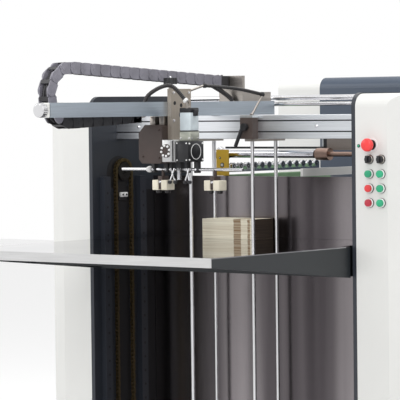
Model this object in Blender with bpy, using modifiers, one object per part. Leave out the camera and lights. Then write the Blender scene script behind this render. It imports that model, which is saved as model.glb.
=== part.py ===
import math

import bmesh
import bpy
from mathutils import Matrix, Vector

# Driving dimensions in metres: X runs across the machine, Y into it, Z up from the floor
touch_gap = 0.0003
moving_gap = 0.005

bay_width = 1.05
plate_thickness = 0.014
cabinet_height = 1.5
cabinet_depth = 0.5
cabinet_corner_radius = 0.04
cover_front_width = 0.117
cover_slant_width = 0.075
cover_slant_depth = 0.035

wall_front = 0.315
wall_thickness = 0.012
wall_top = 1.232
pan_height = 0.05
pan_front_reach = 0.02

beam_front = 0.127
beam_depth = 0.04
beam_bottom = 1.358
beam_height = 0.076
bar_depth_position = 0.44
upper_bar_radius = 0.009
upper_bar_height = 1.489
lower_bar_radius = 0.007
lower_bar_height = 1.469

arm_centre = -0.105
arm_width = 0.04
arm_height = 0.045
arm_front = -0.69
arm_back = 0.42
arm_cap_thickness = 0.01
arm_knob_radius = 0.022
arm_knob_thickness = 0.022

chain_width = 0.043
chain_thickness = 0.036
chain_bend_radius = 0.085
chain_front = -0.64
chain_lower_height = 1.417
chain_back = 0.245
chain_back_height = 1.545
chain_lower_end = -0.2
chain_end_gap = 0.003

table_height = 1.03
table_reach = 0.686
table_sheet_thickness = 0.003
table_strip_thickness = 0.004
table_tip_depth = 0.028
table_root_depth = 0.096
table_side_thickness = 0.012
table_narrowing = 0.045

pile_width = 0.205
pile_depth = 0.115
pile_height = 0.065
pile_left = -0.215

guide_left = -0.232
guide_right = 0.024
guide_front_rod = 0.155
guide_back_rod = 0.28
guide_rod_radius = 0.006
guide_rod_hole_radius = 0.012
guide_plate_width = 0.03
guide_plate_thickness = 0.008
guide_plate_front = 0.135
guide_plate_back = 0.312

clamp_left = 0.02
clamp_width = 0.05
clamp_thickness = 0.03
clamp_lever_length = 0.075
clamp_lever_radius = 0.006

rail_front = 0.037
rail_spacing = 0.184
rail_width = 0.032
rail_thickness = 0.02
rail_top = 1.234
rail_bottom = 0.08
lift_chain_middle = 0.15
lift_chain_pitch_radius = 0.039
lift_chain_top = 1.25
lift_chain_bottom = 0.16
lift_chain_width = 0.012
lift_chain_thickness = 0.014
sprocket_gap = 0.001

roller_radius = 0.013
roller_depth_position = 0.38
roller_height = 1.304
roller_left = -0.24
roller_length = 0.35

wheel_count = 13
wheel_radius = 0.012
wheel_pitch = 0.039
wheel_row_start = 0.375
wheel_row_height = 1.263
wheel_row_x = -0.225

rear_front = 1.3
rear_depth = 0.75
rear_height = 1.566
base_half_width = 0.62
base_top = 1.205

button_pitch_x = 0.043
button_pitch_z = 0.044
button_radius = 0.0145
button_depth = 0.016
button_column_x = 0.592
button_top_row = 1.253

half_bay = bay_width / 2
cover_width = cover_front_width + cover_slant_width
plate_inner = half_bay
plate_outer = half_bay + plate_thickness
cover_inner = plate_outer + touch_gap
cover_outer = cover_inner + cover_width
beam_top = beam_bottom + beam_height
beam_back = beam_front + beam_depth
arm_bottom = beam_top + touch_gap
arm_top = arm_bottom + arm_height
table_frame_top = table_height - table_sheet_thickness - touch_gap
table_half_width = half_bay - moving_gap
table_back = wall_front - moving_gap
table_inner_half = half_bay - table_narrowing
rear_back = rear_front + rear_depth

materials = {}
part_collection = None
cutter_collection = None


def clear_scene():
    for item in list(bpy.data.objects):
        bpy.data.objects.remove(item)


def new_collection(name):
    collection = bpy.data.collections.new(name)
    bpy.context.scene.collection.children.link(collection)
    return collection


def material(name, colour, roughness, metallic=0.0):
    if name not in materials:
        made = bpy.data.materials.new(name)
        made.use_nodes = True
        shader = made.node_tree.nodes["Principled BSDF"]
        shader.inputs["Base Color"].default_value = (*colour, 1.0)
        shader.inputs["Roughness"].default_value = roughness
        shader.inputs["Metallic"].default_value = metallic
        made.diffuse_color = (*colour, 1.0)
        materials[name] = made
    return materials[name]


def navy():
    return material("navy_paint", (0.024, 0.03, 0.045), 0.45)


def white():
    return material("white_paint", (0.76, 0.76, 0.74), 0.5)


def dark():
    return material("dark_paint", (0.02, 0.022, 0.024), 0.5)


def aluminium():
    return material("aluminium", (0.72, 0.74, 0.76), 0.35, 1.0)


def stainless():
    return material("stainless", (0.42, 0.4, 0.39), 0.3, 1.0)


def chrome():
    return material("chrome", (0.8, 0.8, 0.8), 0.12, 1.0)


def casting():
    return material("brown_casting", (0.045, 0.03, 0.026), 0.55)


def black():
    return material("black_plastic", (0.012, 0.012, 0.013), 0.4)


def cream():
    return material("cream_plastic", (0.72, 0.66, 0.54), 0.6)


def plate_grey():
    return material("plate_grey", (0.3, 0.28, 0.25), 0.45)


def place_object(name, mesh, paint, location=(0, 0, 0), rotation=(0, 0, 0)):
    made = bpy.data.objects.new(name, mesh)
    made.location = location
    made.rotation_euler = rotation
    part_collection.objects.link(made)
    mesh.materials.append(paint)
    return made


def box(name, low, high, paint, bevel=0.0, segments=1):
    size = [b - a for a, b in zip(low, high)]
    middle = [(a + b) / 2 for a, b in zip(low, high)]
    mesh = bpy.data.meshes.new(name)
    shape = bmesh.new()
    bmesh.ops.create_cube(shape, size=1.0)
    bmesh.ops.scale(shape, vec=size, verts=shape.verts)
    shape.to_mesh(mesh)
    shape.free()
    made = place_object(name, mesh, paint, middle)
    if bevel:
        edge = made.modifiers.new("rounded_edges", "BEVEL")
        edge.width = bevel
        edge.segments = segments
        edge.limit_method = "ANGLE"
    return made


turns = {"x": (0, math.pi / 2, 0), "y": (math.pi / 2, 0, 0), "z": (0, 0, 0)}


def cylinder(name, centre, radius, length, axis, paint, sides=24):
    mesh = bpy.data.meshes.new(name)
    shape = bmesh.new()
    bmesh.ops.create_cone(shape, cap_ends=True, segments=sides, radius1=radius, radius2=radius, depth=length)
    shape.to_mesh(mesh)
    shape.free()
    mesh.shade_smooth()
    mesh.set_sharp_from_angle(angle=math.radians(40))
    return place_object(name, mesh, paint, centre, turns[axis])


def weld(mesh):
    shape = bmesh.new()
    shape.from_mesh(mesh)
    bmesh.ops.remove_doubles(shape, verts=shape.verts, dist=0.00001)
    bmesh.ops.recalc_face_normals(shape, faces=shape.faces)
    shape.to_mesh(mesh)
    shape.free()


def as_mesh(curve_object, name, paint):
    view = bpy.context.evaluated_depsgraph_get()
    mesh = bpy.data.meshes.new_from_object(curve_object.evaluated_get(view))
    mesh.name = name
    mesh.materials.clear()
    weld(mesh)
    placed = curve_object.matrix_world.copy()
    bpy.data.objects.remove(curve_object)
    made = place_object(name, mesh, paint)
    made.matrix_world = placed
    return made


planes = {
    "x": Matrix(((0, 0, 1, 0), (1, 0, 0, 0), (0, 1, 0, 0), (0, 0, 0, 1))),
    "y": Matrix(((1, 0, 0, 0), (0, 0, -1, 0), (0, 1, 0, 0), (0, 0, 0, 1))),
    "z": Matrix.Identity(4),
}


def extrusion(name, outlines, axis, low, high, paint):
    """A flat outline, drawn in YZ, XZ or XY, drawn out along the axis from low to high."""
    curve = bpy.data.curves.new(name, "CURVE")
    curve.dimensions = "2D"
    curve.fill_mode = "BOTH"
    curve.extrude = (high - low) / 2
    for outline in outlines:
        spline = curve.splines.new("POLY")
        spline.points.add(len(outline) - 1)
        for point, (u, v) in zip(spline.points, outline):
            point.co = (u, v, 0, 1)
        spline.use_cyclic_u = True
    drawn = bpy.data.objects.new(name + "_outline", curve)
    part_collection.objects.link(drawn)
    drawn.matrix_world = Matrix.Translation(along(axis, (low + high) / 2)) @ planes[axis]
    bpy.context.view_layer.update()
    return as_mesh(drawn, name, paint)


def along(axis, distance):
    return Vector([distance if axis == each else 0 for each in "xyz"])


def arc(centre, radius, start, stop, steps=8):
    angles = [math.radians(start + (stop - start) * i / steps) for i in range(steps + 1)]
    return [(centre[0] + radius * math.cos(a), centre[1] + radius * math.sin(a)) for a in angles]


def as_cutter(item):
    part_collection.objects.unlink(item)
    cutter_collection.objects.link(item)
    item.hide_render = True
    item.display_type = "WIRE"
    return item


def combine(target, other, operation):
    step = target.modifiers.new(operation.lower() + "_" + other.name, "BOOLEAN")
    step.operation = operation
    step.solver = "EXACT"
    step.object = as_cutter(other)


def cut(target, other):
    combine(target, other, "DIFFERENCE")


def fuse(target, other):
    combine(target, other, "UNION")


def tube(name, points, radius, paint, resolution=2):
    curve = bpy.data.curves.new(name, "CURVE")
    curve.dimensions = "3D"
    curve.bevel_depth = radius
    curve.bevel_resolution = resolution
    curve.use_fill_caps = True
    spline = curve.splines.new("POLY")
    spline.points.add(len(points) - 1)
    for point, place in zip(spline.points, points):
        point.co = (*place, 1)
    made = bpy.data.objects.new(name, curve)
    made.data.materials.append(paint)
    part_collection.objects.link(made)
    return made


def smooth_route(route, steps=8):
    """Points on a smooth curve through the route's own points."""
    ends = [route[0]] + list(route) + [route[-1]]
    points = []
    for a, b, c, d in zip(ends, ends[1:], ends[2:], ends[3:]):
        a, b, c, d = map(Vector, (a, b, c, d))
        for i in range(steps):
            t = i / steps
            points.append(((2 * b) + (c - a) * t + (2 * a - 5 * b + 4 * c - d) * t * t
                           + (3 * b - a - 3 * c + d) * t ** 3) / 2)
    return points + [Vector(route[-1])]


def side_profile(depth, height, radius, bottom=0.0, front=0.0):
    corner = arc((front + radius, height - radius), radius, 180, 90)
    return [(front + depth, bottom), (front, bottom)] + corner + [(front + depth, height)]


def side_sign(side):
    return -1 if side == "left" else 1


def mirrored_span(side, near, far):
    sign = side_sign(side)
    return tuple(sorted((sign * near, sign * far)))


def make_side_plate(side):
    low, high = mirrored_span(side, plate_inner, plate_outer)
    outline = side_profile(cabinet_depth, cabinet_height, cabinet_corner_radius)
    plate = extrusion(side + "_side_plate", [outline], "x", low, high, navy())
    low, high = mirrored_span(side, half_bay - rail_thickness, half_bay + plate_thickness / 2)
    for place, shift in (("front", 0), ("back", rail_spacing)):
        start = rail_front + shift
        rail = box(side + "_" + place + "_rail", (low, start, rail_bottom), (high, start + rail_width, rail_top),
                   plate_grey())
        fuse(plate, rail)


def make_cover(side):
    low, high = mirrored_span(side, cover_inner, cover_outer)
    top = cabinet_height - 0.003
    outline = side_profile(cabinet_depth, top, cabinet_corner_radius)
    cover = extrusion(side + "_cover", [outline], "x", low, high, white())
    slant_start = cover_inner + cover_front_width
    reach = cover_outer + 0.01
    slope = cover_slant_depth / cover_slant_width
    corner = [(slant_start, 0), (slant_start, -0.01), (reach, -0.01), (reach, (reach - slant_start) * slope)]
    wedge = [(side_sign(side) * x, y) for x, y in corner]
    cut(cover, extrusion(side + "_cover_slant", [wedge], "z", -0.01, cabinet_height + 0.01, white()))


def make_bay():
    width = half_bay - touch_gap
    box("back_wall", (-width, wall_front, pan_height + touch_gap),
        (width, wall_front + wall_thickness, wall_top), stainless())
    box("floor_pan", (-width, -pan_front_reach, 0), (width, cabinet_depth, pan_height), dark())


def make_lift_chain(side):
    near = half_bay - touch_gap
    low, high = mirrored_span(side, near - lift_chain_width, near)
    outer = lift_chain_pitch_radius + lift_chain_thickness / 2
    inner = lift_chain_pitch_radius - lift_chain_thickness / 2

    def loop(radius):
        top = arc((lift_chain_middle, lift_chain_top), radius, 0, 180)
        bottom = arc((lift_chain_middle, lift_chain_bottom), radius, 180, 360)
        return top + bottom

    extrusion(side + "_lift_chain", [loop(outer), loop(inner)], "x", low, high, plate_grey())
    cylinder(side + "_sprocket", ((low + high) / 2, lift_chain_middle, lift_chain_top), inner - sprocket_gap,
             lift_chain_width, "x", plate_grey())


def make_beam():
    width = half_bay - touch_gap
    box("cross_beam", (-width, beam_front, beam_bottom), (width, beam_back, beam_top), aluminium())
    for name, radius, height in (("upper_bar", upper_bar_radius, upper_bar_height),
                                 ("lower_bar", lower_bar_radius, lower_bar_height)):
        cylinder(name, (0, bar_depth_position, height), radius, 2 * width, "x", chrome())


def make_arm():
    low, high = arm_centre - arm_width / 2, arm_centre + arm_width / 2
    box("cantilever_arm", (low, arm_front, arm_bottom), (high, arm_back, arm_top), aluminium())
    cap_back = arm_front - touch_gap
    cap_front = cap_back - arm_cap_thickness
    box("arm_end_cap", (low, cap_front, arm_bottom), (high, cap_back, arm_top), white(), 0.003)
    knob_back = cap_front - 0.001
    cylinder("arm_knob", (arm_centre, knob_back - arm_knob_thickness / 2, (arm_bottom + arm_top) / 2),
             arm_knob_radius, arm_knob_thickness, "y", chrome())


def chain_path():
    """The energy chain's middle line in YZ, from its back end over the bend to its lower end."""
    centre_y = chain_front + chain_thickness / 2 + chain_bend_radius
    centre_z = chain_lower_height + chain_bend_radius
    bend = arc((centre_y, centre_z), chain_bend_radius, 90, 270, 10)
    return [(chain_back, chain_back_height)] + bend + [(chain_lower_end, chain_lower_height)]


def offset_line(points, distance):
    shifted = []
    for i, point in enumerate(points):
        before = Vector(points[max(i - 1, 0)])
        after = Vector(points[min(i + 1, len(points) - 1)])
        ahead = (after - before).normalized()
        shifted.append((point[0] - ahead.y * distance, point[1] + ahead.x * distance))
    return shifted


def make_energy_chain():
    path = chain_path()
    outline = offset_line(path, chain_thickness / 2) + offset_line(path, -chain_thickness / 2)[::-1]
    high = arm_centre - arm_width / 2 - 0.015
    extrusion("energy_chain", [outline], "x", high - chain_width, high, black())
    start = chain_back + chain_end_gap
    arm_side = arm_centre + arm_width / 2
    bracket = box("chain_bracket", (high - chain_width, start, arm_top + touch_gap),
                  (arm_side, start + 0.012, chain_back_height + chain_thickness / 2), plate_grey())
    fuse(bracket, box("arm_end_block", (arm_centre - arm_width / 2, start + 0.006, arm_top + touch_gap),
                      (arm_side, arm_back - 0.02, arm_top + 0.03), plate_grey()))


def make_head():
    front = -0.17
    box("head_housing", (-0.18, front, 1.285), (-0.085, front + 0.11, arm_bottom - touch_gap), casting())
    box("head_bracket", (-0.085 + touch_gap, front + 0.03, 1.36), (-0.07, front + 0.13, 1.52), plate_grey())
    box("valve_block", (-0.085 + touch_gap, front, 1.29), (-0.03, front + 0.1, 1.3597), aluminium())
    box("cam_box", (-0.03 + touch_gap, front, 1.29), (0.02, front + 0.08, 1.355), black())
    box("servo_motor", (-0.03, front + 0.02, 1.3553), (0.015, front + 0.065, 1.46), aluminium())
    cylinder("star_knob", (-0.105, -0.1, 1.545), 0.022, 0.02, "z", black())
    cylinder("knob_post", (-0.105, -0.1, (arm_top + 1.534) / 2), 0.006, 1.534 - arm_top - 0.001, "z", chrome())
    box("sucker_bar", (-0.15, -0.12, 1.245), (0.1, -0.1, 1.2847), chrome())
    for side, x in (("left", -0.13), ("right", 0.08)):
        box(side + "_sucker", (x - 0.03, -0.13, 1.19), (x + 0.03, -0.09, 1.2447), cream())
    cylinder("push_rod", (-0.24, -0.1, 1.25), 0.005, 0.12, "x", chrome())
    front_route = [(-0.16, -0.171, 1.44), (-0.13, -0.18, 1.5), (-0.05, -0.17, 1.53), (0.0, -0.15, 1.48)]
    tube("front_hose", smooth_route(front_route), 0.007, black())
    back_route = [(-0.05, 0.0, 1.53), (0.0, 0.1, 1.52), (0.02, 0.22, 1.5)]
    tube("back_hose", smooth_route(back_route), 0.006, black())


def make_side_guide(side, x):
    top = beam_bottom - touch_gap
    bottom = top - guide_plate_thickness
    half = guide_plate_width / 2
    guide = box(side + "_side_guide", (x - half, guide_plate_front, bottom), (x + half, guide_plate_back, top),
                plate_grey())
    rod_bottom = pan_height + touch_gap
    rod_top = bottom + guide_plate_thickness / 2
    for place, y in (("front", guide_front_rod), ("back", guide_back_rod)):
        rod = cylinder(side + "_guide_" + place + "_rod", (x, y, (rod_bottom + rod_top) / 2), guide_rod_radius,
                       rod_top - rod_bottom, "z", chrome(), 16)
        fuse(guide, rod)


def make_clamp():
    front = beam_front - touch_gap - clamp_thickness
    box("clamp_block", (clamp_left, front, beam_bottom), (clamp_left + clamp_width, beam_front - touch_gap, beam_top),
        dark())
    pivot = Vector((clamp_left + clamp_width / 2, front - moving_gap, beam_bottom + beam_height / 2))
    lever = cylinder("clamp_lever", pivot - Vector((0, 0.006, 0)), 0.012, 0.012, "y", black())
    handle = cylinder("clamp_lever_handle", pivot + Vector((-0.02, -0.006, -clamp_lever_length / 2 + 0.01)),
                      clamp_lever_radius, clamp_lever_length, "z", black(), 12)
    handle.rotation_euler = (0, math.radians(25), 0)
    fuse(lever, handle)


def make_roller():
    middle = roller_left + roller_length / 2
    cylinder("feed_roller", (middle, roller_depth_position, roller_height), roller_radius, roller_length, "x", chrome())
    left = roller_left - moving_gap
    box("roller_bracket", (left - 0.04, roller_depth_position - 0.02, wall_top + 0.045),
        (left, roller_depth_position + 0.02, roller_height + 0.025), chrome())
    right = roller_left + roller_length + moving_gap
    drive = cylinder("roller_drive", ((right + half_bay) / 2, roller_depth_position, roller_height), 0.008,
                     half_bay - touch_gap - right, "x", stainless())
    fuse(drive, cylinder("roller_drive_flange", (right + 0.03, roller_depth_position, roller_height), 0.02, 0.05,
                         "x", stainless()))
    box("drive_panel", (right, roller_depth_position + 0.03, roller_height + 0.012),
        (half_bay - touch_gap, roller_depth_position + 0.036, roller_height + 0.05), plate_grey())


def make_wheels():
    length = wheel_pitch * (wheel_count - 1)
    rail_back = wheel_row_start + length + 0.03
    rail = box("wheel_rail", (wheel_row_x - 0.024, wheel_row_start - 0.03, wheel_row_height - 0.02),
               (wheel_row_x - 0.008, rail_back, wheel_row_height + 0.006), dark())
    for i in range(wheel_count):
        wheel = cylinder("press_wheel_%d" % i, (wheel_row_x - 0.004, wheel_row_start + i * wheel_pitch,
                                                wheel_row_height), wheel_radius, 0.014, "x", chrome(), 16)
        fuse(rail, wheel)
    box("wheel_end_plate", (wheel_row_x - 0.045, wheel_row_start - 0.036, wall_top + touch_gap),
        (wheel_row_x + 0.005, wheel_row_start - 0.0303, roller_height + 0.015),
        material("yellow_paint", (0.46, 0.3, 0.065), 0.5))
    box("belt_strip", (wheel_row_x - 0.02, wheel_row_start - 0.03, base_top + touch_gap),
        (wheel_row_x + 0.04, rail_back, wall_top + 0.003), material("belt_green", (0.12, 0.25, 0.13), 0.7))
    box("side_guard", (0.09, wall_front + 0.01, wall_top + touch_gap), (0.1, rail_back, wall_top + 0.026), white())


def make_table():
    tip = -table_reach
    side_outline = [
        (table_back, table_frame_top), (tip, table_frame_top), (tip, table_height - table_tip_depth),
        (0, table_height - table_root_depth), (table_back, table_height - table_root_depth),
    ]
    frame = extrusion("table_frame", [side_outline], "x", -table_half_width, table_half_width, dark())
    deep = table_height - table_root_depth - 0.01
    for side in ("left", "right"):
        low, high = mirrored_span(side, table_inner_half, half_bay + 0.01)
        notch = box(side + "_table_notch", (low, -moving_gap, deep), (high, table_back + 0.01, table_height + 0.01),
                    dark())
        cut(frame, notch)
    inner = table_inner_half - table_side_thickness
    for name, start, stop in (("front_pocket", tip + 0.012, -0.35), ("middle_pocket", -0.338, -0.03),
                              ("back_pocket", -0.018, table_back - 0.012)):
        cut(frame, box(name, (-inner, start, deep), (inner, stop, table_height + 0.01), dark()))
    sheet = box("table_sheet", (-table_half_width, tip - table_strip_thickness / 2,
                                table_height - table_sheet_thickness),
                (table_half_width, table_back, table_height), stainless())
    for side in ("left", "right"):
        low, high = mirrored_span(side, table_inner_half, half_bay + 0.01)
        notch = box(side + "_sheet_notch", (low, -moving_gap, deep), (high, table_back + 0.01, table_height + 0.01),
                    dark())
        cut(sheet, notch)
    for x in (guide_left, guide_right):
        for y in (guide_front_rod, guide_back_rod):
            cut(sheet, cylinder("rod_hole", (x, y, table_height), guide_rod_hole_radius, 0.02, "z", dark(), 20))
    fuse(sheet, box("front_strip", (-table_half_width, tip - table_strip_thickness, table_height - table_tip_depth),
                    (table_half_width, tip - touch_gap, table_height), stainless()))
    pile_back = wall_front - 0.008
    box("board_pile", (pile_left, pile_back - pile_depth, table_height + touch_gap),
        (pile_left + pile_width, pile_back, table_height + pile_height), cream())


def make_controls():
    face = -touch_gap
    red = material("red_plastic", (0.6, 0.05, 0.04), 0.35)
    green = material("green_plastic", (0.02, 0.3, 0.14), 0.35)
    stop_x = button_column_x + 0.009
    cylinder("emergency_stop", (stop_x, face - 0.024, button_top_row + 2 * button_pitch_z), 0.02, 0.024, "y", red)
    for side, x in (("left", button_column_x), ("right", button_column_x + button_pitch_x)):
        cylinder(side + "_selector", (x, face - 0.011, button_top_row + button_pitch_z), button_radius, 0.022, "y",
                 black())
        for row in range(3):
            paint = red if side == "left" and row else green
            cylinder("%s_button_%d" % (side, row + 1), (x, face - button_depth / 2,
                                                         button_top_row - row * button_pitch_z),
                     button_radius, button_depth, "y", paint)


def make_rear():
    outline = side_profile(rear_depth, rear_height, cabinet_corner_radius, 0, rear_front)
    extrusion("rear_hood", [outline], "x", -plate_outer, plate_outer, navy())
    cover_outline = side_profile(rear_depth, rear_height - 0.003, cabinet_corner_radius, 0, rear_front)
    for side in ("left", "right"):
        low, high = mirrored_span(side, cover_inner, cover_outer)
        extrusion(side + "_rear_cover", [cover_outline], "x", low, high, white())
    box("conveyor_base", (-base_half_width, cabinet_depth + touch_gap, 0),
        (base_half_width, rear_front - touch_gap, base_top), navy())


clear_scene()
part_collection = new_collection("paper_grooving_machine")
cutter_collection = new_collection("cutters")
for each_side in ("left", "right"):
    make_side_plate(each_side)
    make_cover(each_side)
    make_lift_chain(each_side)
make_bay()
make_beam()
make_arm()
make_energy_chain()
make_head()
make_side_guide("left", guide_left)
make_side_guide("right", guide_right)
make_clamp()
make_roller()
make_wheels()
make_table()
make_controls()
make_rear()
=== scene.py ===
import bmesh
import bpy
from math import cos, pi, radians, sin
from mathutils import Matrix, Vector

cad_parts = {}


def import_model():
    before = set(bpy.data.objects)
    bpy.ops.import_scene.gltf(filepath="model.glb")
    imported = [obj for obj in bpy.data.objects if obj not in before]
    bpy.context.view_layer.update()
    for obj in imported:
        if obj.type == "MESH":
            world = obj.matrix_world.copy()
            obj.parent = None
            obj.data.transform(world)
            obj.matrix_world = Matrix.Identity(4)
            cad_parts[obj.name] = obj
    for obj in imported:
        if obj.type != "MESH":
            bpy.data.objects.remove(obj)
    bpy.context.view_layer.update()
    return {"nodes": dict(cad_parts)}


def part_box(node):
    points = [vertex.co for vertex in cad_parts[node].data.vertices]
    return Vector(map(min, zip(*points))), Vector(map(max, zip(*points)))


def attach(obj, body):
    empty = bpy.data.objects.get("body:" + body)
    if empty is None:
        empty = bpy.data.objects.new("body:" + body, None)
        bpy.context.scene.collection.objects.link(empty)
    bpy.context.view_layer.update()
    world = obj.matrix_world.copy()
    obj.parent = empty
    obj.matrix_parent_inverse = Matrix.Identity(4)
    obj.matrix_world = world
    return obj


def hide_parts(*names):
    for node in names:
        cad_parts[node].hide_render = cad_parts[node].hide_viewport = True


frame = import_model()
nodes = frame["nodes"]
print("frame loaded:", len(nodes), "nodes")

photo = {"width": 400, "focalPixels": 2561.7}
camera = {
    "place": (5.052, -6.385, 1.456), "tilt": 87.9616, "roll": 0.6526, "heading": 38.7135,
    "sensor": 36.0, "reach": 60,
}


def makeCamera():
    data = bpy.data.cameras.new("camera")
    data.sensor_width = camera["sensor"]
    data.lens = photo["focalPixels"] / photo["width"] * camera["sensor"]
    data.clip_end = camera["reach"]
    made = bpy.data.objects.new("camera", data)
    made.location = camera["place"]
    made.rotation_euler = [radians(camera[turn]) for turn in ("tilt", "roll", "heading")]
    bpy.context.scene.collection.objects.link(made)
    bpy.context.scene.camera = made


makeCamera()
print("camera set")


class Wire:  # one output socket, written in sums; plain numbers mix in on either side
    def __init__(self, tree, socket=None):
        self.tree = tree
        self.socket = socket

    def node(self, kind, settings=None, links=None, out=0):
        made = self.tree.nodes.new("ShaderNode" + kind)
        for key, value in (settings or {}).items():
            if key == "stops":
                ramp = made.color_ramp
                while len(ramp.elements) < len(value):
                    ramp.elements.new(0.5)
                for stop, (place, colour) in zip(ramp.elements, value):
                    stop.position = place
                    stop.color = (*colour, 1) if len(colour) == 3 else colour
            else:
                setattr(made, key, value)
        for key, value in (links or {}).items():
            if isinstance(value, Wire):
                self.tree.links.new(value.socket, made.inputs[key])
            else:
                made.inputs[key].default_value = value
        return Wire(self.tree, made.outputs[out])

    def sum(self, operation, first, second):
        return self.node("Math", {"operation": operation}, {0: first, 1: second})

    def __add__(self, other):
        return self.sum("ADD", self, other)

    def __radd__(self, other):
        return self.sum("ADD", other, self)

    def __sub__(self, other):
        return self.sum("SUBTRACT", self, other)

    def __rsub__(self, other):
        return self.sum("SUBTRACT", other, self)

    def __mul__(self, other):
        return self.sum("MULTIPLY", self, other)

    def __rmul__(self, other):
        return self.sum("MULTIPLY", other, self)

    def __truediv__(self, other):
        return self.sum("DIVIDE", self, other)

    def above(self, level):
        return self.sum("GREATER_THAN", self, level)

    def steps(self, low, high):  # 0 at low, 1 at high, smooth between
        settings = {"interpolation_type": "SMOOTHSTEP"}
        return self.node("MapRange", settings, {"Value": self, "From Min": low, "From Max": high})

    def mix(self, first, second):  # colours, by this wire as the mask
        return self.node("Mix", {"data_type": "RGBA"}, {0: self, 6: colour4(first), 7: colour4(second)}, 2)

    def split(self):
        parts = self.tree.nodes.new("ShaderNodeSeparateXYZ")
        self.tree.links.new(self.socket, parts.inputs[0])
        return [Wire(self.tree, each) for each in parts.outputs]


def colour4(colour):
    return colour if isinstance(colour, Wire) else (*colour, 1.0)


def shades(red, green, blue):  # a colour as the photo shows it, 0 to 255, made linear
    levels = [each / 255 for each in (red, green, blue)]
    return tuple(x / 12.92 if x <= 0.04045 else ((x + 0.055) / 1.055) ** 2.4 for x in levels)


def scaled(colour, factor, lift=0.0):
    return tuple(min(1.0, each * factor + lift) for each in colour)


def finish(name, paint):
    made = bpy.data.materials.new(name)
    made.use_nodes = True
    tree = made.node_tree
    shader = tree.nodes["Principled BSDF"]
    start = Wire(tree)
    place = start.node("TexCoord", out=3)
    sockets = paint(start, place)
    for key, value in sockets.items():
        if isinstance(value, Wire):
            tree.links.new(value.socket, shader.inputs[key])
        else:
            shader.inputs[key].default_value = colour4(value) if key == "Base Color" else value
    return made


def stretched(start, place, scale):
    return start.node("Mapping", {}, {"Vector": place, "Scale": scale})


def noise(start, place, scale, detail=3.0, roughness=0.55):
    values = {"Vector": place, "Scale": scale, "Detail": detail, "Roughness": roughness}
    return start.node("TexNoise", {}, values)


def bump(start, height, distance, strength=0.4):
    return start.node("Bump", {}, {"Height": height, "Distance": distance, "Strength": strength})


def enamel(colour, roughness, drift=0.05):
    def paint(start, place):
        cloud = noise(start, place, 3.0, 4.0)
        peel = noise(start, place, 900.0, 1.0)
        darker = scaled(colour, 1 - drift)
        lighter = scaled(colour, 1 + drift)
        return {
            "Base Color": cloud.steps(0.3, 0.7).mix(darker, lighter),
            "Roughness": roughness + 0.12 * (cloud - 0.5),
            "Normal": bump(start, peel, 0.0004, 0.12),
        }
    return paint


def anodised(colour, roughness, grainScale, metallic=1.0, contrast=0.14):
    def paint(start, place):
        grain = noise(start, stretched(start, place, grainScale), 1.0, 4.0, 0.7)
        cloud = noise(start, place, 5.0, 3.0)
        darker = scaled(colour, 1 - contrast)
        return {
            "Base Color": grain.steps(0.3, 0.7).mix(darker, colour),
            "Metallic": metallic,
            "Roughness": roughness + 0.16 * (grain - 0.5) + 0.14 * (cloud - 0.5),
            "Normal": bump(start, grain, 0.00015, 0.25),
        }
    return paint


def polished(colour, roughness, grainScale):
    def paint(start, place):
        grain = noise(start, stretched(start, place, grainScale), 1.0, 3.0, 0.6)
        smear = noise(start, place, 2.2, 3.0)
        darker = scaled(colour, 0.86)
        return {
            "Base Color": smear.steps(0.35, 0.7).mix(darker, colour),
            "Metallic": 1.0,
            "Roughness": roughness + 0.05 * grain + 0.05 * smear.steps(0.4, 0.75),
        }
    return paint


def casting(colour):
    def paint(start, place):
        sand = noise(start, place, 420.0, 4.0, 0.7)
        cloud = noise(start, place, 9.0, 4.0)
        lighter = scaled(colour, 1.5)
        return {
            "Base Color": cloud.steps(0.35, 0.7).mix(colour, lighter),
            "Roughness": 0.42 + 0.2 * cloud,
            "Normal": bump(start, sand, 0.0006, 0.35),
        }
    return paint


def moulded(colour, roughness):
    def paint(start, place):
        grain = noise(start, place, 600.0, 2.0)
        cloud = noise(start, place, 14.0, 3.0)
        lighter = scaled(colour, 1.35, 0.002)
        return {
            "Base Color": cloud.steps(0.3, 0.7).mix(colour, lighter),
            "Roughness": roughness + 0.1 * (cloud - 0.5),
            "Normal": bump(start, grain, 0.0003, 0.15),
        }
    return paint


def twoCoats(under, over, where):  # one paint, and another where the mask is 1
    def paint(start, place):
        mask = where(start, place)
        low, high = under(start, place), over(start, place)
        mixed = {"Base Color": mask.mix(low["Base Color"], high["Base Color"])}
        for key in ("Roughness", "Metallic"):
            first, second = low.get(key, 0.0), high.get(key, 0.0)
            mixed[key] = first + mask * (second - first)
        if "Normal" in low:
            mixed["Normal"] = low["Normal"]
        return mixed
    return paint


def beyond(axis, level):  # 1 past a plane across X, Y or Z
    return lambda start, place: place.split()[axis].above(level)


def before(axis, level):  # 1 up to such a plane
    return lambda start, place: 1 - place.split()[axis].above(level)


def facing(axis, least):  # 1 on faces that look along the axis, either way
    def mask(start, place):
        normal = start.node("TexCoord", out=1)
        return start.sum("ABSOLUTE", normal.split()[axis], 0.0).above(least)
    return mask


# painted reflection: the back wall's dark and light streak colours and their stretch
wallReflectionStreaks = {"dark": shades(84, 79, 82), "light": shades(158, 152, 154), "widths": (5.5, 1.0, 0.12)}


def wallSheet(start, place):  # polished sheet; the long upright light streaks in its colour are painted reflection
    bands = noise(start, stretched(start, place, wallReflectionStreaks["widths"]), 1.0, 3.0, 0.5)
    grain = noise(start, stretched(start, place, (420.0, 420.0, 5.0)), 1.0, 3.0, 0.6)
    cloud = noise(start, place, 2.5, 3.0)
    tone = bands.steps(0.38, 0.68).mix(wallReflectionStreaks["dark"], wallReflectionStreaks["light"])
    return {
        "Base Color": (0.35 * cloud).mix(tone, wallReflectionStreaks["dark"]),
        "Metallic": 1.0,
        "Roughness": 0.17 + 0.1 * grain,
        "Normal": bump(start, grain, 0.0001, 0.2),
    }


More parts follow.
